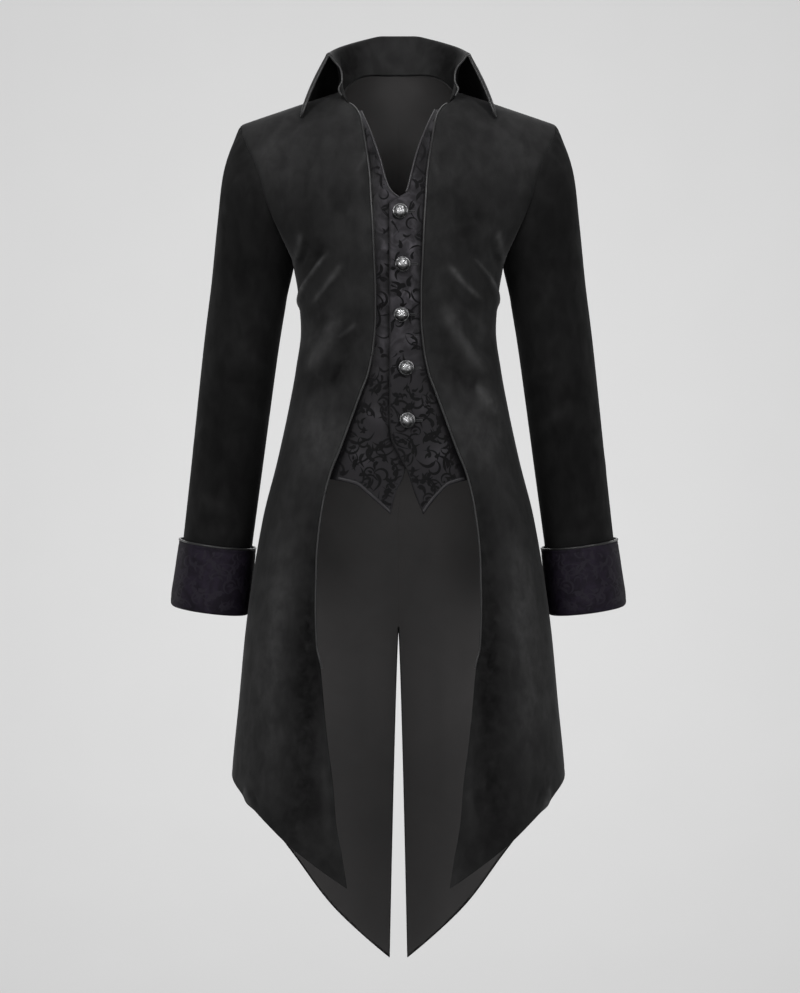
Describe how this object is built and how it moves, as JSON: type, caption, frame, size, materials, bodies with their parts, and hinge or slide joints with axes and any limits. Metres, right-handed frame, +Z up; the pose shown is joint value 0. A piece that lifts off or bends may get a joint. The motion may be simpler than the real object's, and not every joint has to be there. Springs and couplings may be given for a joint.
{
  "type": "long tailcoat",
  "caption": "Long black velvet tailcoat in its worn, hollow form: false waistcoat front in jacquard, turned-down collar, turn-back cuffs, hem pointed at the fronts and the vented tails.",
  "frame": {"origin": "middle of the neck base, level with the side neck points of the shoulder seams, where the wearer's shoulders carry the coat", "axes": "+Z up, +X to the wearer's left, the front looks along -Y"},
  "size_m": [0.6434, 0.3299, 1.3227],
  "materials": {
    "velvet": "black cotton velvet, soft nap sheen",
    "lining": "smooth charcoal lining cloth, warm black",
    "vest_jacquard": "charcoal jacquard with a darker scroll and leaf figure",
    "cuff_jacquard": "purple-black jacquard, low contrast figure",
    "satin_piping": "satin piping and binding, slight gloss",
    "pewter": "antiqued pewter, domed and rimmed"
  },
  "bodies": {
    "root": {"front_left": "velvet", "front_right": "velvet", "back_left": "velvet", "back_right": "velvet", "sleeve_left": "velvet", "sleeve_right": "velvet", "collar": "velvet", "lining_back": "lining", "cuff_left": "cuff_jacquard", "cuff_right": "cuff_jacquard", "vest_left": "vest_jacquard", "vest_right": "vest_jacquard", "front_piping_left": "satin_piping", "front_piping_right": "satin_piping", "collar_piping": "satin_piping", "cuff_piping_left": "satin_piping", "cuff_piping_right": "satin_piping", "vest_binding_left": "satin_piping", "vest_binding_right": "satin_piping", "button_1": "pewter", "button_2": "pewter", "button_3": "pewter", "button_4": "pewter", "button_5": "pewter"}
  },
  "joints": []
}
